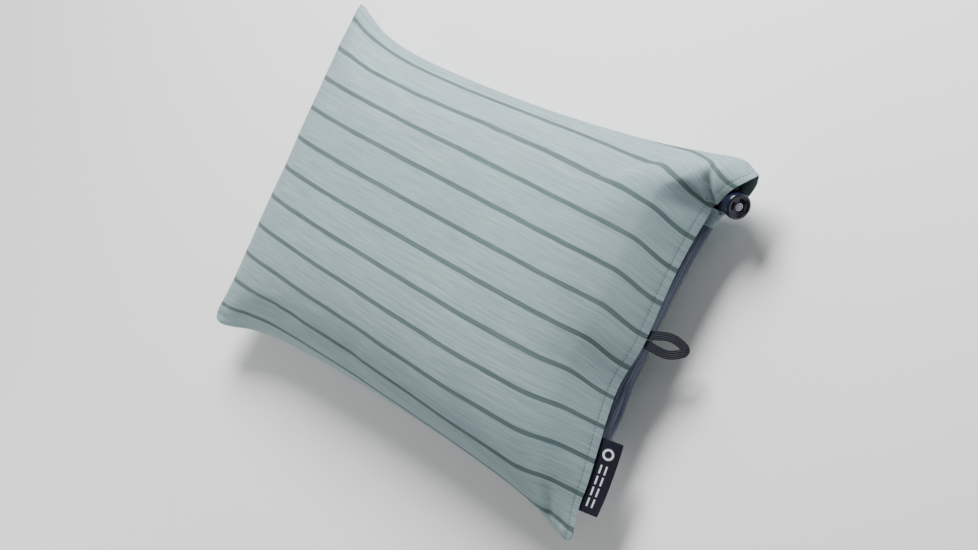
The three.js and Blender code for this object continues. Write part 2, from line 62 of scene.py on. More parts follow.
def add_camera():
    lens = bpy.data.cameras.new("camera")
    lens.lens = 98.7
    lens.sensor_width = 36
    lens.clip_start = 0.05
    lens.clip_end = 30
    camera = bpy.data.objects.new("camera", lens)
    camera.location = (1.4346, 0.1871, 1.5551)
    right = Vector((0.64201, 0.4167, -0.64357)).normalized()
    up = Vector((-0.3644, 0.90438, 0.22205))
    back = right.cross(up).normalized()
    up = back.cross(right)
    turn = Matrix((right, up, back)).transposed()
    camera.rotation_euler = turn.to_euler()
    bpy.context.scene.collection.objects.link(camera)
    bpy.context.scene.camera = camera


LIGHT_AIM = Vector((0, 0, 0.05))


def add_light(name, place, size, power):
    lamp = bpy.data.lights.new(name, "AREA")
    lamp.shape = "DISK"
    lamp.size = size
    lamp.energy = power
    obj = bpy.data.objects.new(name, lamp)
    obj.location = place
    obj.rotation_euler = (Vector(place) - LIGHT_AIM).to_track_quat("Z", "Y").to_euler()
    bpy.context.scene.collection.objects.link(obj)


def add_studio():
    world = bpy.data.worlds.new("studio")
    bpy.context.scene.world = world
    world.use_nodes = True
    sky = world.node_tree.nodes["Background"]
    sky.inputs["Color"].default_value = (1, 1, 1, 1)
    sky.inputs["Strength"].default_value = 0.24
    add_light("softbox_high", (-0.2, 0.93, 0.93), 0.75, 42)
    add_light("softbox_sewn_end", (-0.55, -0.95, 0.34), 0.5, 6)
    add_light("softbox_mouth", (1.2, 0.7, 0.9), 0.8, 2.5)
    build = bmesh.new()
    bmesh.ops.create_grid(build, x_segments=1, y_segments=1, size=6)
    floor = mesh_object("studio_floor", build)
    paint = Recipe("studio_floor_paint")
    paint.principled(base=(0.9, 0.9, 0.9), roughness=0.9)
    floor.data.materials.append(paint.material)


# ---------------------------------------------------------------- mesh helpers


def mesh_object(name, build):
    mesh = bpy.data.meshes.new(name)
    build.to_mesh(mesh)
    build.free()
    obj = bpy.data.objects.new(name, mesh)
    bpy.context.scene.collection.objects.link(obj)
    return obj


def smooth_shade(obj):
    obj.data.polygons.foreach_set("use_smooth", [True] * len(obj.data.polygons))


def apply_modifiers(obj):
    depsgraph = bpy.context.evaluated_depsgraph_get()
    done = bpy.data.meshes.new_from_object(obj.evaluated_get(depsgraph), depsgraph=depsgraph)
    obj.modifiers.clear()
    old = obj.data
    obj.data = done
    done.name = old.name
    bpy.data.meshes.remove(old)


def add_subdivision(obj, levels=1):
    finish = obj.modifiers.new("finish", "SUBSURF")
    finish.levels = levels
    finish.render_levels = levels
    return finish


# ---------------------------------------------------------------- where the valve sits

# The knob's face centre, and its axis turned inward and tipped up.
VALVE_FACE = Vector((0.236, 0.129, 0.043))
VALVE_TURN = Matrix.Rotation(math.radians(-6), 4, "Z") @ Matrix.Rotation(math.radians(90 - 17), 4, "Y")

# ---------------------------------------------------------------- material helpers


class Value:
    """A number or colour on its way through a material."""

    def __init__(self, recipe, socket):
        self.recipe = recipe
        self.socket = socket

    def maths(self, operation, *others):
        inputs = dict(enumerate([self, *others]))
        return self.recipe.node("Math", {"operation": operation}, inputs)

    def __add__(self, other):
        return self.maths("ADD", other)

    __radd__ = __add__

    def __mul__(self, other):
        return self.maths("MULTIPLY", other)

    __rmul__ = __mul__

    def __sub__(self, other):
        return self.maths("SUBTRACT", other)

    def __rsub__(self, other):
        return self.recipe.node("Math", {"operation": "SUBTRACT"}, {0: other, 1: self})

    def __truediv__(self, other):
        return self.maths("DIVIDE", other)

    def size(self):
        return self.maths("ABSOLUTE")

    def wave(self):
        return self.maths("SINE")

    def most(self, other):
        return self.maths("MAXIMUM", other)

    def ramp(self, low, high, out_low=0.0, out_high=1.0):
        settings = {"interpolation_type": "SMOOTHSTEP", "clamp": True}
        sockets = {"Value": self, "From Min": low, "From Max": high, "To Min": out_low, "To Max": out_high}
        return self.recipe.node("MapRange", settings, sockets)


class Recipe:
    """One procedural material."""

    def __init__(self, name):
        self.material = bpy.data.materials.new(name)
        self.material.use_nodes = True
        self.tree = self.material.node_tree
        self.tree.nodes.clear()

    def node(self, kind, settings=None, inputs=None, output=0):
        made = self.tree.nodes.new("ShaderNode" + kind)
        for key, value in (settings or {}).items():
            setattr(made, key, value)
        for key, value in (inputs or {}).items():
            self.feed(made.inputs[key], value)
        return Value(self, made.outputs[output])

    def feed(self, socket, value):
        if isinstance(value, Value):
            self.tree.links.new(value.socket, socket)
        elif isinstance(value, tuple) and len(value) == 3 and socket.type == "RGBA":
            socket.default_value = (*value, 1)
        else:
            socket.default_value = value

    def place(self):
        return self.node("TexCoord", output="Object")

    def cloth(self):
        """The fabric's own coordinates: metres along and across the cloth."""
        spot = self.node("UVMap", {"uv_map": "cloth"})
        return self.split(spot)

    def split(self, vector):
        parts = self.tree.nodes.new("ShaderNodeSeparateXYZ")
        self.feed(parts.inputs[0], vector)
        return [Value(self, parts.outputs[i]) for i in range(3)]

    def join(self, x, y, z=0.0):
        return self.node("CombineXYZ", None, {0: x, 1: y, 2: z})

    def noise(self, at, scale, detail=2.0, rough=0.5):
        inputs = {"Vector": at, "Scale": scale, "Detail": detail, "Roughness": rough}
        return self.node("TexNoise", None, inputs)

    def mix(self, share, first, second):
        made = self.tree.nodes.new("ShaderNodeMix")
        made.data_type = "RGBA"
        self.feed(made.inputs[0], share)
        self.feed(made.inputs[6], first)
        self.feed(made.inputs[7], second)
        return Value(self, made.outputs[2])

    def bump(self, height, strength, distance):
        return self.node("Bump", None, {"Height": height, "Strength": strength, "Distance": distance})

    def principled(self, base, roughness, normal=None, **constants):
        shader = self.tree.nodes.new("ShaderNodeBsdfPrincipled")
        self.feed(shader.inputs["Base Color"], base)
        self.feed(shader.inputs["Roughness"], roughness)
        if normal is not None:
            self.feed(shader.inputs["Normal"], normal)
        for key, value in constants.items():
            self.feed(shader.inputs[key.replace("_", " ")], value)
        out = self.tree.nodes.new("ShaderNodeOutputMaterial")
        self.tree.links.new(shader.outputs[0], out.inputs[0])
        return self.material


# ---------------------------------------------------------------- materials

STRIPE_SPACING = 26.4 * MM
STRIPE_WIDTH = 3.7 * MM
STRIPE_SHIFT = 10.0 * MM
KNIT_SHEEN = {"Sheen_Weight": 0.06, "Sheen_Roughness": 0.4, "Specular_IOR_Level": 0.15}
WHOLE_TURN = 2 * math.pi


def heather(recipe, along, across, light, dark, streak_scale=1.0):
    """Two yarn tones drawn out along the knit, in fine and broader streaks."""
    fine = recipe.noise(recipe.join(along * 34.0, across * (1150.0 * streak_scale)), 1.0, 2.0, 0.6)
    broad = recipe.noise(recipe.join(along * 16.0, across * (420.0 * streak_scale), 3.0), 1.0, 1.0)
    streak = fine * 0.62 + broad * 0.38
    return recipe.mix(streak.ramp(0.34, 0.66), dark, light)


def knit_height(recipe, along, across):
    wale = (across * (WHOLE_TURN / (1.1 * MM))).wave()
    course = (along * (WHOLE_TURN / (1.5 * MM))).wave()
    fuzz = recipe.noise(recipe.join(along * 700.0, across * 1900.0), 1.0, 2.0)
    return wale * 0.25 + course * 0.12 + fuzz * 0.9


def striped_knit():
    r = Recipe("striped_heather_jersey")
    along, across, _ = r.cloth()
    along = along - 0.5
    across = across - 0.5
    ground = heather(r, along, across, (0.288, 0.388, 0.396), (0.200, 0.276, 0.286))
    drift = r.noise(r.join(along * 9.0, across * 12.0, 7.0), 1.0, 2.0)
    ground = r.mix(drift.ramp(0.3, 0.7, 0.0, 0.35), ground, (0.228, 0.304, 0.345))
    stripe_yarn = heather(r, along, across, (0.105, 0.150, 0.152), (0.074, 0.110, 0.113))
    turns = (across - STRIPE_SHIFT) / STRIPE_SPACING
    offset = (turns.maths("FRACT") - 0.5).size() * STRIPE_SPACING
    wobble = r.noise(r.join(along * 60.0, across * 500.0, 1.0), 1.0, 1.0) * (0.7 * MM)
    stripe = (offset + wobble).ramp(STRIPE_WIDTH / 2 + 0.6 * MM, STRIPE_WIDTH / 2)
    colour = r.mix(stripe, ground, stripe_yarn)
    height = knit_height(r, along, across)
    rough = r.noise(r.join(along * 60.0, across * 300.0), 1.0).ramp(0.3, 0.7, 0.86, 0.97)
    return r.principled(colour, rough, r.bump(height, 0.35, 0.25 * MM), **KNIT_SHEEN)


def navy_knit():
    r = Recipe("navy_heather_jersey")
    along, across, _ = r.cloth()
    colour = heather(r, along - 0.5, across - 0.5, (0.125, 0.143, 0.190), (0.030, 0.038, 0.068), 0.9)
    height = knit_height(r, along, across)
    return r.principled(colour, 0.92, r.bump(height, 0.45, 0.3 * MM), **KNIT_SHEEN)


def satin_binding():
    r = Recipe("satin_binding_tape")
    x, y, z = r.split(r.place())
    rib = ((y + z * 0.3) * (WHOLE_TURN / (0.9 * MM))).wave()
    tone = r.noise(r.join(x * 300.0, y * 900.0, z * 300.0), 1.0)
    colour = r.mix(tone.ramp(0.3, 0.7), (0.12, 0.19, 0.215), (0.20, 0.285, 0.315))
    return r.principled(colour, 0.42, r.bump(rib, 0.3, 0.15 * MM), Sheen_Weight=0.2)


def ribbed_webbing():
    r = Recipe("ribbed_navy_webbing")
    along, across, _ = r.cloth()
    rib = (across * (WHOLE_TURN / (1.35 * MM))).wave()
    pick = (along * (WHOLE_TURN / (1.0 * MM)) + rib * 1.2).wave()
    # Painted shade: the grooves between the ribs are coloured darker than the rib tops.
    groove_painted_shade = rib.ramp(-0.9, 0.2)
    tone = r.noise(r.join(along * 700.0, across * 1500.0), 1.0)
    colour = r.mix(groove_painted_shade, (0.0010, 0.0014, 0.0040), (0.0080, 0.0105, 0.0220))
    colour = r.mix(tone.ramp(0.45, 0.75, 0.0, 0.5), colour, (0.015, 0.019, 0.035))
    height = rib * 0.8 + pick * 0.25
    return r.principled(colour, 0.62, r.bump(height, 0.8, 0.35 * MM), Specular_IOR_Level=0.3)


LABEL_LENGTH = 56 * MM
LABEL_WIDTH = 17 * MM


def label_tape():
    """Woven tape with a plain ring and two rows of short bars woven in white."""
    r = Recipe("woven_label_tape")
    along, across, _ = r.cloth()
    weft = ((along + across) * (WHOLE_TURN / (0.42 * MM))).wave()
    warp = (across * (WHOLE_TURN / (0.5 * MM))).wave()
    tone = r.noise(r.join(along * 900.0, across * 900.0), 1.0)
    tape = r.mix(tone, (0.0030, 0.0040, 0.0105), (0.0075, 0.0100, 0.0230))
    edge = 0.12 * MM
    middle = (across - 0.5 * LABEL_WIDTH).size()
    half_bar = 3.25 * MM
    outer = 2.6 * MM
    inner = 1.4 * MM
    mark = None
    for start in (19, 27.5, 36, 44.5):
        inside = (along - (start * MM + half_bar)).size().ramp(half_bar + edge, half_bar - edge)
        band = middle.ramp(outer + edge, outer - edge)
        gap = middle.ramp(inner - edge, inner + edge)
        bars = inside * band * gap
        mark = bars if mark is None else mark.most(bars)
    dx = along - 10.5 * MM
    dy = across - 0.5 * LABEL_WIDTH
    reach = (dx * dx + dy * dy).maths("SQRT")
    ring = reach.ramp(4.3 * MM + edge, 4.3 * MM - edge) * reach.ramp(2.7 * MM - edge, 2.7 * MM + edge)
    mark = mark.most(ring)
    white = r.mix(tone, (0.60, 0.63, 0.68), (0.78, 0.80, 0.84))
    colour = r.mix(mark, tape, white)
    height = weft * 0.4 + warp * 0.3 + mark * 0.6
    return r.principled(colour, 0.7, r.bump(height, 0.6, 0.12 * MM), Specular_IOR_Level=0.2)


def gloss_plastic():
    r = Recipe("gloss_navy_plastic")
    at = r.place()
    tone = r.noise(at, 900.0, 3.0)
    haze = r.noise(at, 140.0, 2.0)
    colour = r.mix(tone.ramp(0.35, 0.7), (0.0050, 0.0070, 0.020), (0.0085, 0.0115, 0.030))
    rough = haze.ramp(0.3, 0.7, 0.16, 0.27)
    return r.principled(colour, rough, r.bump(haze, 0.04, 0.3 * MM), Specular_IOR_Level=0.35)


def satin_plastic():
    r = Recipe("grained_navy_plastic")
    at = r.place()
    grain = r.noise(at, 2600.0, 2.0)
    haze = r.noise(at, 200.0, 2.0)
    colour = r.mix(haze.ramp(0.3, 0.7), (0.004, 0.005, 0.010), (0.008, 0.010, 0.018))
    rough = haze.ramp(0.3, 0.7, 0.42, 0.55)
    return r.principled(colour, rough, r.bump(grain, 0.12, 0.1 * MM), Specular_IOR_Level=0.2)


def badge_print():
    """Pale disc with a plain dark ring and dot, on the valve's own axis."""
    r = Recipe("badge_print")
    axis = VALVE_TURN @ Vector((0, 0, 1))
    out = r.node("VectorMath", {"operation": "SUBTRACT"}, {0: r.place(), 1: tuple(VALVE_FACE)})
    out = r.node("VectorMath", {"operation": "CROSS_PRODUCT"}, {0: out, 1: tuple(axis)})
    radius = r.node("VectorMath", {"operation": "LENGTH"}, {0: out}, 1)
    grain = r.noise(r.place(), 1500.0, 2.0)
    colour = r.mix(grain.ramp(0.3, 0.7), (0.28, 0.33, 0.41), (0.40, 0.45, 0.53))
    soft = 0.12 * MM
    ring = (radius - 1.75 * MM).size().ramp(0.32 * MM + soft, 0.32 * MM - soft)
    dot = radius.ramp(0.6 * MM + soft, 0.6 * MM - soft)
    colour = r.mix(ring.most(dot), colour, (0.015, 0.020, 0.045))
    return r.principled(colour, 0.3, r.bump(grain, 0.08, 0.1 * MM))


def foam_cells():
    r = Recipe("open_cell_foam")
    at = r.place()
    cell = r.node("TexVoronoi", None, {"Vector": at, "Scale": 700.0})
    tone = r.noise(at, 60.0, 3.0)
    colour = r.mix(tone.ramp(0.3, 0.7), (0.60, 0.60, 0.50), (0.72, 0.71, 0.62))
    # Painted shade: the hollows of the foam cells are coloured darker than the cell walls.
    colour = r.mix(cell.ramp(0.0, 0.35, 0.55, 0.0), colour, (0.30, 0.29, 0.24))
    return r.principled(colour, 0.95, r.bump(cell, 0.8, 0.6 * MM))


def air_film():
    r = Recipe("coated_air_fabric")
    x, y, _ = r.split(r.place())
    weave = (x * (WHOLE_TURN / (0.8 * MM))).wave() * (y * (WHOLE_TURN / (0.8 * MM))).wave()
    tone = r.noise(r.place(), 25.0, 3.0)
    colour = r.mix(tone.ramp(0.3, 0.7), (0.21, 0.235, 0.255), (0.28, 0.305, 0.32))
    return r.principled(colour, tone.ramp(0.3, 0.7, 0.42, 0.55), r.bump(weave, 0.25, 0.12 * MM))


def seal_rubber():
    r = Recipe("seal_rubber")
    tone = r.noise(r.place(), 500.0, 2.0)
    colour = r.mix(tone, (0.018, 0.018, 0.022), (0.035, 0.035, 0.042))
    return r.principled(colour, tone.ramp(0.3, 0.7, 0.55, 0.7), r.bump(tone, 0.15, 0.1 * MM))


def thread_finish():
    r = Recipe("sewing_thread")
    x, y, z = r.split(r.place())
    twist = ((x + y + z) * (WHOLE_TURN / (0.5 * MM))).wave()
    # Painted shade: the hollows of the twist are coloured darker than its crests.
    colour = r.mix(twist.ramp(-1, 1), (0.050, 0.070, 0.072), (0.100, 0.135, 0.138))
    return r.principled(colour, 0.7, r.bump(twist, 0.4, 0.1 * MM), Sheen_Weight=0.2)


# ---------------------------------------------------------------- the pillow's form

HALF_LENGTH = 228 * MM
CROWN = 58 * MM
DROP = 46.5 * MM
SEWN_PULL = 11 * MM
ALONG_STEPS = 110
ACROSS_STEPS = 84
SHOULDER = 0.87
HEM_RISE = 5 * MM
MOUTH_TURN_IN = 0.955
HEM_STITCH = 0.982

# Distance of the side seams from the middle line, and of the mouth hem from the middle of the length,
# in millimetres, each given at a few places along the seam.
VALVE_SIDE_LINE = [
    (-1, 145), (-0.9, 135.5), (-0.78, 127.5), (-0.6, 124), (-0.35, 125), (0, 129.5),
    (0.3, 136.5), (0.6, 146.5), (0.8, 156), (0.92, 161), (1, 156),
]
LABEL_SIDE_LINE = [
    (-1, 153), (-0.9, 149), (-0.78, 141), (-0.6, 134.5), (-0.25, 130.5), (0.2, 129.5), (0.6, 132), (0.8, 136),
    (0.93, 143), (1, 147),
]
HEM_LINE = [
    (-1, 224), (-0.93, 223), (-0.8, 219.5), (-0.69, 218.5), (-0.58, 216), (-0.45, 212.5), (-0.34, 209.5),
    (-0.2, 207), (-0.09, 208.5), (0.03, 211.5), (0.18, 211.3), (0.41, 210.4), (0.6, 212), (0.745, 215.5),
    (0.80, 222), (0.88, 229), (0.95, 235), (1, 237.5),
]


def smoothstep(value, low, high):
    share = min(1.0, max(0.0, (value - low) / (high - low)))
    return share * share * (3 - 2 * share)


def curve(stops, at):
    """A smooth line through a few (place, value) stops."""
    at = min(stops[-1][0], max(stops[0][0], at))
    i = max(1, min(len(stops) - 1, next(k for k, stop in enumerate(stops) if stop[0] >= at)))
    (x0, y0), (x1, y1) = stops[i - 1], stops[i]
    before = stops[max(0, i - 2)]
    after = stops[min(len(stops) - 1, i + 1)]
    slope0 = (y1 - before[1]) / (x1 - before[0])
    slope1 = (after[1] - y0) / (after[0] - x0)
    run = x1 - x0
    w = (at - x0) / run
    return (
        y0 * (1 + 2 * w) * (1 - w) ** 2 + y1 * w * w * (3 - 2 * w)
        + run * (slope0 * w * (1 - w) ** 2 - slope1 * w * w * (1 - w))
    )


def crosswise(t):
    return max(0.0, 1 - abs(t) ** 2.7) ** 0.6


def hem_height(t):
    """Rise of the upper hem over the seam: low at the fold, a straight lift to the hood's tip."""
    plain = HEM_RISE * crosswise(t)
    hood = curve([(0.745, 4.5), (0.80, 9), (0.88, 11), (0.95, 6.5), (1, 0)], t) * MM
    return plain + (hood - plain) * smoothstep(t, 0.70, 0.76)


def lower_hem_height(t):
    """Drop of the lower hem under the seam across the hood, from beside the valve up to the tip."""
    return curve([(0.78, 19), (0.88, 15), (0.94, 8.5), (1, 0)], t) * MM


def side_line(t, s):
    if t > 0:
        return curve(VALVE_SIDE_LINE, s) * MM
    return curve(LABEL_SIDE_LINE, s) * MM


def turn_in(t):
    """How far along its length the lower panel reaches before its mouth hem."""
    open_part = smoothstep(t, -0.97, -0.88) * (1 - smoothstep(t, 0.74, 0.84))
    return 1 - (1 - MOUTH_TURN_IN) * open_part


CORNERS = [((-1, 1), (-223, 145), 11), ((-1, -1), (-228, -153), 14), ((1, -1), (224, -147), 9)]


def round_corner(point):
    """Rounds the three plain corners of the plan."""
    for (along, across), tip, radius in CORNERS:
        dx = (point.x / MM - tip[0] + along * radius) * along
        dy = (point.y / MM - tip[1] + across * radius) * across
        if dx > 0 and dy > 0:
            shrink = max(dx, dy) / math.hypot(dx, dy)
            point.x += along * dx * (shrink - 1) * MM
            point.y += across * dy * (shrink - 1) * MM


def form_point(s, t, side):
    """A point of the cover's outer surface, measured from the seam's level."""
    if side < 0 and s > 0.5:
        s = 0.5 + (s - 0.5) * (turn_in(t) - 0.5) / 0.5
    sewn = ((1 - s) / 2) ** 2
    end_bow = 1 - abs(t) ** 2.5
    x = HALF_LENGTH * s + SEWN_PULL * sewn * end_bow
    if t > 0:
        x += 5 * MM * sewn * smoothstep(t, 0.7, 1)
    hem = curve(HEM_LINE, t) * MM
    x += (hem - HALF_LENGTH) * smoothstep(s, -0.1, 1.0)
    y = t * side_line(t, s)
    cross = crosswise(t)
    if s < 0:
        full = max(0.0, 1 - abs(s) ** 3.1) ** 0.6
    elif side < 0:
        full = max(0.0, 1 - s**4.0) ** 0.6
    else:
        full = (1 - min(s, SHOULDER) ** 4.6) ** 0.6
    height = (CROWN if side > 0 else DROP) * full * cross
    hood = smoothstep(s, 0.62, 0.93)
    height += 11 * MM * smoothstep(t, 0.45, 0.9) * (1 - smoothstep(t, 0.90, 1.0)) * hood
    if side < 0:
        hooded = smoothstep(s, 0.86, 1.0) * smoothstep(t, 0.78, 0.86)
        height += (lower_hem_height(t) - height) * hooded
        x -= 4 * MM * hooded * (1 - smoothstep(t, 0.86, 1.0))
    if side > 0 and s > SHOULDER:
        share = (s - SHOULDER) / (1 - SHOULDER)
        roof = smoothstep(t, 0.74, 0.86)
        fall = 0.72 * share + 0.28 * share * share
        fall += (share**1.6 - fall) * roof
        height += (hem_height(t) - height) * fall
    point = Vector((x, y, side * height))
    round_corner(point)
    return point


# Creases and hollows: start and end as (x, y) in millimetres, depth, half width, and which face.
CREASES = [
    ((218, 118), (213, 148), 7.0 * MM, 2.6 * MM, 1),
    ((214, 130), (210, 150), 1.6 * MM, 4.5 * MM, 1),
    ((214, 118), (196, 131), 3.2 * MM, 3.4 * MM, 1),
    ((214, 116), (185, 108), 1.8 * MM, 6 * MM, 1),
    ((-222, -146), (-196, -143), 2.6 * MM, 3.0 * MM, 1),
    ((-214, -136), (-190, -118), 1.5 * MM, 8 * MM, 1),
    ((-206, 134), (-182, 118), 2.0 * MM, 7 * MM, 1),
    ((216, -140), (196, -121), 2.4 * MM, 4.5 * MM, 1),
    ((203, -138), (199, -112), 1.8 * MM, 4.0 * MM, 1),
]


def crease_depth(point, side):
    total = 0.0
    for start, end, depth, width, face in CREASES:
        if face != side:
            continue
        a = Vector(start) * MM
        b = Vector(end) * MM
        run = b - a
        share = min(1.0, max(0.0, (point - a).dot(run) / run.length_squared))
        away = (point - (a + run * share)).length
        fade = (1 - 0.8 * share) * min(1.0, 0.35 + share * run.length / (8 * MM))
        total += depth * fade * math.exp(-((away / width) ** 2))
    return total


def eased(step):
    """Grid steps from -1 to 1, closer together at the edges."""
    return math.sin(step * math.pi / 2)


def cover_bag():
    """Both faces of the cover as one bag, open along the mouth."""
    build = bmesh.new()
    s_layer = build.verts.layers.float.new("s")
    t_layer = build.verts.layers.float.new("t")
    upper = build.faces.layers.int.new("upper")
    sides = {}
    for side in (1, -1):
        made = bmesh.ops.create_grid(build, x_segments=ALONG_STEPS, y_segments=ACROSS_STEPS, size=1)
        for v in made["verts"]:
            v[s_layer] = eased(v.co.x)
            v[t_layer] = eased(v.co.y)
            v.co = form_point(v[s_layer], v[t_layer], side)
            sides[v] = side
        faces = list({f for v in made["verts"] for f in v.link_faces})
        for f in faces:
            f[upper] = 1 if side > 0 else 0
        if side < 0:
            bmesh.ops.reverse_faces(build, faces=faces)
    return build, s_layer, t_layer, sides


def fabric_across(arc, s, t):
    """The knit is stretched over the middle of the pillow and drawn a little sideways at the mouth."""
    valve_side = smoothstep(t, -0.15, 0.15)
    stretch = 0.075 * (1 - valve_side) + valve_side * (0.03 + 0.045 * smoothstep(t, 0.6, 0.9))
    middle = smoothstep(s, -0.8, 0.5) * (1 - smoothstep(s, 0.74, 0.98))
    drawn = 8 * MM * smoothstep(s, 0.87, 1) * (0.25 + 0.75 * smoothstep(t, -0.45, -0.15))
    return arc * (1 - stretch * middle) + drawn


def lay_out_cloth(build, s_layer, t_layer, sides):
    """Fabric coordinates: metres from the middle line along the cloth, both ways, plus a half."""
    rows = {}
    columns = {}
    for v in build.verts:
        side = sides[v]
        rows.setdefault((side, round(v[s_layer], 5)), []).append(v)
        columns.setdefault((side, round(v[t_layer], 5)), []).append(v)
    across = {}
    along = {}
    for lines, layer, result in ((rows, t_layer, across), (columns, s_layer, along)):
        for line in lines.values():
            line.sort(key=lambda v: v[layer])
            gone = 0.0
            travelled = [0.0]
            for a, b in zip(line, line[1:]):
                gone += (b.co - a.co).length
                travelled.append(gone)
            middle = travelled[min(range(len(line)), key=lambda i: abs(line[i][layer]))]
            for v, way in zip(line, travelled):
                result[v] = way - middle
    uv = build.loops.layers.uv.new("cloth")
    for v in build.verts:
        across[v] = fabric_across(across[v], v[s_layer], v[t_layer])
    for face in build.faces:
        for loop in face.loops:
            loop[uv].uv = (0.5 + along[loop.vert], 0.5 + across[loop.vert])


def settle_cloth(obj, pinned, ease, reach):
    """Blows the bag up a little as cloth, then keeps each point within reach of where it began.

    ease is the share of its movement that each point keeps, none of it at the mouth.
    """
    begun = np.array([v.co for v in obj.data.vertices])
    group = obj.vertex_groups.new(name="held")
    group.add([int(i) for i in pinned], 1.0, "REPLACE")
    cloth = obj.modifiers.new("cloth", "CLOTH")
    cloth.settings.quality = 6
    cloth.settings.mass = 0.15
    cloth.settings.tension_stiffness = 12
    cloth.settings.compression_stiffness = 12
    cloth.settings.shear_stiffness = 4
    cloth.settings.bending_stiffness = 0.4
    cloth.settings.use_pressure = True
    cloth.settings.uniform_pressure_force = 3.5
    cloth.settings.vertex_group_mass = "held"
    cloth.settings.effector_weights.gravity = 0
    cloth.collision_settings.use_collision = False
    cloth.point_cache.frame_start = 1
    cloth.point_cache.frame_end = 20
    scene = bpy.context.scene
    for step in range(1, 21):
        scene.frame_set(step)
    depsgraph = bpy.context.evaluated_depsgraph_get()
    result = obj.evaluated_get(depsgraph).data
    ended = np.array([v.co for v in result.vertices])
    obj.modifiers.clear()
    scene.frame_set(1)
    move = (ended - begun) * ease[:, None]
    far = np.linalg.norm(move, axis=1, keepdims=True)
    ended = begun + move * reach / (reach + far)
    obj.data.vertices.foreach_set("co", ended.ravel())
    obj.vertex_groups.clear()


def press_creases(build, s_layer, t_layer):
    """Sinks the creases and the faint waves over the air core's webs, along the surface's own normals."""
    build.normal_update()
    moves = {}
    for v in build.verts:
        side = 1 if v.co.z >= 0 else -1
        depth = crease_depth(v.co.xy, side)
        if not (v.co.x > 0.19 and v.co.y > 0.1):
            depth *= smoothstep(abs(v.co.z), 0.5 * MM, 9 * MM)
        inner = max(0.0, 1 - abs(v[s_layer]) ** 6) * max(0.0, 1 - abs(v[t_layer]) ** 4)
        if side > 0 or v[t_layer] < 0.8:
            depth += 0.2 * MM * math.exp(-(((v[s_layer] - HEM_STITCH) / 0.003) ** 2))
        depth += 0.45 * MM * math.cos(2 * math.pi * (v[s_layer] + 0.6) / 0.4) * inner
        moves[v] = v.normal * -depth
    for v, move in moves.items():
        v.co += move


def make_cover():
    build, s_layer, t_layer, sides = cover_bag()
    lay_out_cloth(build, s_layer, t_layer, sides)
    rim = [v for v in build.verts if abs(v[t_layer]) > 0.9999 or v[s_layer] < -0.9999]
    bmesh.ops.remove_doubles(build, verts=rim, dist=0.01 * MM)
    bag = mesh_object("cover_bag", build)
    s_values = np.array([a.value for a in bag.data.attributes["s"].data])
    t_values = np.array([a.value for a in bag.data.attributes["t"].data])
    ease = np.clip((0.93 - s_values) / 0.35, 0, 1)
    seams = (1 - np.abs(t_values) ** 10) * (1 - np.clip(-s_values, 0, 1) ** 14)
    settle_cloth(bag, np.nonzero(s_values > 0.93)[0], ease * ease * (3 - 2 * ease) * seams, 4 * MM)
    add_subdivision(bag, 1)
    apply_modifiers(bag)
    build = bmesh.new()
    build.from_mesh(bag.data)
    press_creases(build, build.verts.layers.float["s"], build.verts.layers.float["t"])
    for v in build.verts:
        v.co.z = max(v.co.z + SEAM, 0.0)
    pieces = []
    for name, wanted in (("striped_cover", 1), ("cover_underside", 0)):
        part = build.copy()
        upper = part.faces.layers.int["upper"]
        bmesh.ops.delete(part, geom=[f for f in part.faces if f[upper] != wanted], context="FACES")
        pieces.append(mesh_object(name, part))
    build.free()
    bpy.data.objects.remove(bag)
    return pieces


FABRIC_THICKNESS = 0.8 * MM


def finish_panel(obj, node, material, body="pillow"):
    wall = obj.modifiers.new("wall", "SOLIDIFY")
    wall.thickness = FABRIC_THICKNESS
    wall.offset = -1
    smooth_shade(obj)
    obj.data.materials.clear()
    obj.data.materials.append(material)
    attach(obj, body)
    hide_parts(node)
    return obj


STITCH_LIFT = 0.45
STITCH = {"pitch": 2.6 * MM, "length": 1.9 * MM, "radius": 0.24 * MM}


def sewn_row(name, panel, places, pitch, length, radius, material, body="pillow"):
    """A row of thread stitches that lie on a panel, along a line of places close to it."""
    skin = BVHTree.FromObject(panel, bpy.context.evaluated_depsgraph_get())
    spots = []
    for place in places:
        found = skin.find_nearest(place)
        spots.append((found[0], found[1]))
    build = bmesh.new()
    gone = 0.0
    due = 0.0
    for (a, normal), (b, _) in zip(spots, spots[1:]):
        gone += (b - a).length
        if gone < due:
            continue
        due = gone + pitch
        along = (b - a).normalized()
        side = normal.cross(along).normalized()
        lift = along.cross(side)
        turn = Matrix((along, side, lift)).transposed().to_4x4()
        shape = Matrix.Diagonal((length / 2, radius, radius, 1))
        place = Matrix.Translation(a + normal * radius * STITCH_LIFT) @ turn @ shape
        bmesh.ops.create_icosphere(build, subdivisions=1, radius=1, matrix=place)
    obj = mesh_object(name, build)
    smooth_shade(obj)
    obj.data.materials.append(material)
    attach(obj, body)
    return obj


def hem_line_places(side, low, high, steps=1400):
    """Where the hem's stitching runs, a few millimetres in from the mouth."""
    places = []
    for i in range(steps):
        t = low + (high - low) * i / (steps - 1)
        places.append(form_point(HEM_STITCH, t, side) + Vector((0, 0, SEAM)))
    return places


# ---------------------------------------------------------------- mouth flap


def spline(points, way):
    """A smooth line through a few points, evenly shared over way 0 to 1."""
    at = min(max(way, 0.0), 1.0) * (len(points) - 1)
    i = min(int(at), len(points) - 2)
    w = at - i
    a, b = points[i], points[i + 1]
    before = points[max(0, i - 1)]
    after = points[min(len(points) - 1, i + 2)]
    rise0 = (b - before) / 2
    rise1 = (after - a) / 2
    return (
        a * ((1 + 2 * w) * (1 - w) ** 2) + b * (w * w * (3 - 2 * w))
        + rise0 * (w * (1 - w) ** 2) - rise1 * (w * w * (1 - w))
    )


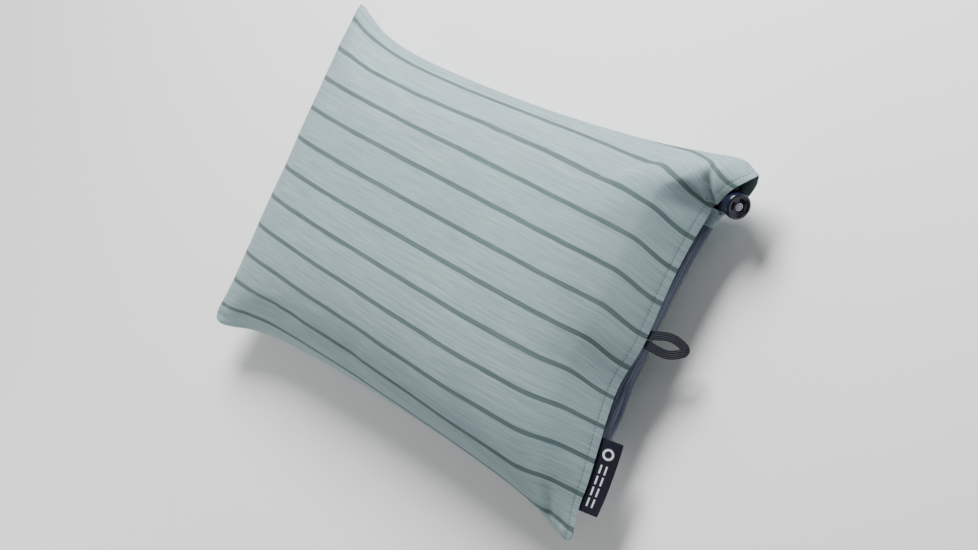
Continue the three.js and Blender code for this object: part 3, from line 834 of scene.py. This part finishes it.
# How far the strip's widest part stands behind the hem above it, in millimetres.
STRIP_SET_BACK = [
    (-1, 11), (-0.8, 9), (-0.6, 5.5), (-0.45, -0.2), (-0.28, -3.4), (-0.1, -1.2), (0.1, 3.4),
    (0.25, 2.2), (0.42, 0.2), (0.6, -1.4), (0.7, -3.2), (0.78, -4.0), (0.85, -3),
]


def flap_point(y, way):
    """way 0 is tucked in behind the upper hem, 1 is tucked in behind the lower hem."""
    t = y / (150 * MM)
    top = form_point(0.955, t, 1)
    hem = form_point(1.0, t, 1)
    low = form_point(1.0, t, -1)
    under = form_point(0.93, t, -1)
    front = hem.x - curve(STRIP_SET_BACK, t) * MM
    tuck = 1 + 0.9 * smoothstep(t, 0.55, 0.68) + 0.6 * smoothstep(-t, 0.75, 0.85)
    points = [
        top + Vector((-6.5 * MM, 0, -4.5 * MM)) * tuck,
        hem + Vector((-3.4 * MM, 0, -0.5 * MM)) * tuck,
        Vector((front - 0.6 * MM, hem.y, -4 * MM * crosswise(t) - 0.5 * MM)),
        Vector((front - 4.5 * MM, hem.y, -11.5 * MM * crosswise(t) - 1 * MM)),
        low + Vector((-1.6 * MM, 0, 1.6 * MM)),
        under + Vector((-1.0 * MM, 0, 3.5 * MM)),
    ]
    spot = spline(points, way)
    return Vector((spot.x, spot.y, SEAM + spot.z))


def make_flap(name, node, low, high, steps, material):
    build = bmesh.new()
    bmesh.ops.create_grid(build, x_segments=26, y_segments=steps, size=1, calc_uvs=False)
    uv = build.loops.layers.uv.new("cloth")
    for face in build.faces:
        for loop in face.loops:
            co = loop.vert.co
            loop[uv].uv = (0.5 + (low + (high - low) * (co.y + 1) / 2), 0.5 + 0.03 * co.x)
    for v in build.verts:
        v.co = flap_point(low + (high - low) * (v.co.y + 1) / 2, (v.co.x + 1) / 2)
    bmesh.ops.recalc_face_normals(build, faces=build.faces)
    obj = mesh_object(name, build)
    return finish_panel(obj, node, material)


# ---------------------------------------------------------------- loop and label


def make_loop(material):
    foot = Vector((0.2118, 0.0135, 0.0425))
    droop = math.radians(27)
    skew = math.radians(10)
    turn = Matrix.Rotation(skew, 3, "Z") @ Matrix.Rotation(droop, 3, "Y")
    points = []
    end_x = 26.6 * MM
    end_radius = 2.9 * MM
    for side in (-1, 1):
        leg = []
        for i in range(19):
            share = i / 18
            spread = (3.6 - 1.2 * share + 3.4 * math.sin(math.pi * share**1.4)) * MM
            out = -2 * MM + (end_x + 2 * MM) * share
            leg.append(Vector((out, side * spread, 0.5 * side * MM * (1 - share))))
        if side < 0:
            points += leg
            for k in range(1, 8):
                angle = math.pi * (k / 8 - 0.5)
                points.append(Vector((end_x + end_radius * math.cos(angle), end_radius * math.sin(angle), 0)))
        else:
            points += leg[::-1]
    build = bmesh.new()
    half_width = 3.3 * MM
    half_thick = 0.65 * MM
    uv = build.loops.layers.uv.new("cloth")
    rings = []
    gone = 0.0
    for i, p in enumerate(points):
        before = points[max(0, i - 1)]
        after = points[min(len(points) - 1, i + 1)]
        run = (after - before).normalized()
        if i:
            gone += (p - points[i - 1]).length
        way = i / (len(points) - 1)
        narrow = 1 - 0.35 * smoothstep(1 - abs(way - 0.5) * 2, 0.78, 0.95)
        width_dir = run.cross(Vector((0, 0, 1))).normalized()
        thick_dir = run.cross(width_dir).normalized()
        ring = []
        for k in range(12):
            a = 2 * math.pi * k / 12
            w = max(-1, min(1, 1.25 * math.cos(a)))
            h = max(-1, min(1, 1.25 * math.sin(a)))
            spot = p + width_dir * (half_width * narrow * w) + thick_dir * (half_thick / narrow * h)
            ring.append((build.verts.new(foot + turn @ spot), gone, half_width * w))
        rings.append(ring)
    for a, b in zip(rings, rings[1:]):
        for k in range(12):
            corners = (a[k], b[k], b[(k + 1) % 12], a[(k + 1) % 12])
            face = build.faces.new([c[0] for c in corners])
            for loop, c in zip(face.loops, corners):
                loop[uv].uv = (0.2 + c[1], 0.5 + c[2])
    for ring in (rings[0], rings[-1]):
        build.faces.new([c[0] for c in ring])
    bmesh.ops.recalc_face_normals(build, faces=build.faces)
    obj = mesh_object("webbing_loop", build)
    add_subdivision(obj, 1)
    smooth_shade(obj)
    obj.data.materials.append(material)
    along = turn @ Vector((1, 0, 0))
    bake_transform(obj, "pillow", "loop", start=foot - along * 1.5 * MM, end=foot + along * 4 * MM)
    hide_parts("hang_loop")
    return obj


def make_label(material):
    build = bmesh.new()
    bmesh.ops.create_grid(build, x_segments=12, y_segments=40, size=1, calc_uvs=False)
    uv = build.loops.layers.uv.new("cloth")
    for face in build.faces:
        for loop in face.loops:
            co = loop.vert.co
            loop[uv].uv = ((1 - co.y) / 2 * LABEL_LENGTH, (co.x + 1) / 2 * LABEL_WIDTH)
    foot = Vector((0.2155, -0.093, 0.0418))
    turn = Matrix.Rotation(math.radians(6), 3, "Z") @ Matrix.Rotation(math.radians(22), 3, "Y")
    for v in build.verts:
        out = (v.co.x + 1) / 2
        y = v.co.y * LABEL_LENGTH / 2
        x = out * LABEL_WIDTH - 1.5 * MM
        curl = 1.6 * MM * out * out * (v.co.y**2) - 2.0 * MM * out * out
        v.co = foot + turn @ Vector((x + 0.8 * MM * out * (1 - v.co.y**2), y, curl))
    obj = mesh_object("woven_label", build)
    add_subdivision(obj, 1)
    wall = obj.modifiers.new("wall", "SOLIDIFY")
    wall.thickness = 0.9 * MM
    wall.offset = 0
    bpy.context.view_layer.update()
    smooth_shade(obj)
    obj.data.materials.append(material)
    along = turn @ Vector((1, 0, 0))
    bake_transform(obj, "pillow", "label", start=foot - along * 1 * MM, end=foot + along * 4 * MM)
    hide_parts("side_label")
    return obj


# ---------------------------------------------------------------- valve

def valve_place():
    return Matrix.Translation(VALVE_FACE) @ VALVE_TURN


def spun(profile, steps=96):
    """A closed turned shape from (radius, height) pairs in millimetres, about +Z."""
    build = bmesh.new()
    verts = [build.verts.new((r * MM, 0, z * MM)) for r, z in profile]
    edges = [build.edges.new((a, b)) for a, b in zip(verts, verts[1:])]
    bmesh.ops.spin(
        build,
        geom=verts + edges,
        cent=(0, 0, 0),
        axis=(0, 0, 1),
        angle=WHOLE_TURN,
        steps=steps,
        use_merge=True,
    )
    bmesh.ops.remove_doubles(build, verts=build.verts, dist=0.001 * MM)
    bmesh.ops.recalc_face_normals(build, faces=build.faces)
    return build


def make_knob(gloss, grained):
    profile = [
        (2.6, -1.3), (4.3, -1.3), (5.9, -1.3), (6.7, -1.3), (7.0, -1.2), (7.15, -0.9),
        (7.3, -0.45), (7.7, -0.12),
        (8.3, 0.0), (8.9, -0.12), (9.4, -0.42), (9.8, -0.95), (10.05, -1.6), (10.2, -2.5), (10.2, -4.2),
        (10.2, -6.6), (10.2, -8.6), (9.95, -9.25), (9.4, -9.5), (8.5, -9.5), (8.3, -9.3),
        (8.3, -6.0), (8.3, -3.3),
        (8.1, -3.1), (5.9, -3.1), (4.3, -3.1), (2.6, -3.1), (2.6, -2.2), (2.6, -1.3),
    ]
    build = spun(profile, 120)
    windows = [(40 + 120 * k, 112 + 120 * k) for k in range(3)]
    for height in (-1.3, -3.1):
        gone = []
        for f in build.faces:
            centre = f.calc_center_median()
            radius = math.hypot(centre.x, centre.y)
            angle = math.degrees(math.atan2(centre.y, centre.x)) % 360
            level = abs(centre.z - height * MM) < 0.05 * MM
            if level and 4.3 * MM < radius < 5.9 * MM and any(a < angle < b for a, b in windows):
                gone.append(f)
        bmesh.ops.delete(build, geom=gone, context="FACES")
    loose = [e for e in build.edges if e.is_boundary]
    bmesh.ops.bridge_loops(build, edges=loose)
    bmesh.ops.recalc_face_normals(build, faces=build.faces)
    bmesh.ops.transform(build, matrix=valve_place(), verts=build.verts)
    obj = mesh_object("twist_knob", build)
    obj.data.materials.append(gloss)
    obj.data.materials.append(grained)
    back = valve_place().inverted()
    for p in obj.data.polygons:
        local = back @ p.center
        if math.hypot(local.x, local.y) < 7.0 * MM and local.z < -1.45 * MM:
            p.material_index = 1
    edge = obj.modifiers.new("edge", "BEVEL")
    edge.width = 0.18 * MM
    edge.segments = 2
    edge.limit_method = "ANGLE"
    edge.angle_limit = math.radians(50)
    smooth_shade(obj)
    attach(obj, "knob")
    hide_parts("valve_knob")
    return obj


def make_badge(material):
    profile = [(0.0, -1.0), (2.8, -1.0), (3.0, -0.85), (3.0, -0.5), (2.8, -0.32), (1.5, -0.26), (0.0, -0.26)]
    build = spun(profile, 64)
    bmesh.ops.transform(build, matrix=valve_place(), verts=build.verts)
    obj = mesh_object("knob_badge", build)
    smooth_shade(obj)
    obj.data.materials.append(material)
    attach(obj, "stem")
    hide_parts("valve_badge")
    return obj


# ---------------------------------------------------------------- build everything


def paint_frame(finishes):
    for node, material in finishes.items():
        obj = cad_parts[node]
        obj.data.materials.clear()
        obj.data.materials.append(material)


def build_scene():
    add_camera()
    add_studio()
    jersey = striped_knit()
    navy = navy_knit()
    satin = satin_binding()
    gloss = gloss_plastic()
    film = air_film()
    top, bottom = make_cover()
    finish_panel(top, "cover_top_panel", jersey)
    finish_panel(bottom, "cover_bottom_panel", jersey)
    thread = thread_finish()
    sewn_row("upper_hem_stitches", top, hem_line_places(1, -0.96, 0.985), material=thread, **STITCH)
    sewn_row("lower_hem_stitches", bottom, hem_line_places(-1, -0.86, 0.70), material=thread, **STITCH)
    flap = make_flap("navy_flap", "mouth_flap", -0.122, 0.102, 90, navy)
    for side, low, high, reach in (("valve", 0.1022, 0.1155, 0.073), ("label", -0.1355, -0.1222, 0.050)):
        tape = make_flap(f"satin_binding_{side}_side", f"flap_binding_{side}_side", low, high, 8, satin)
    make_loop(ribbed_webbing())
    label = make_label(label_tape())
    make_knob(gloss, satin_plastic())
    make_badge(badge_print())
    paint_frame(
        {
            "foam_pad": foam_cells(),
            "air_sheet_top": film,
            "air_sheet_bottom": film,
            "valve_boat": satin_plastic(),
            "valve_neck": gloss,
            "valve_stem": satin_plastic(),
            "poppet_seal": seal_rubber(),
            **{f"air_baffle_{k}": film for k in range(1, 5)},
        }
    )


build_scene()
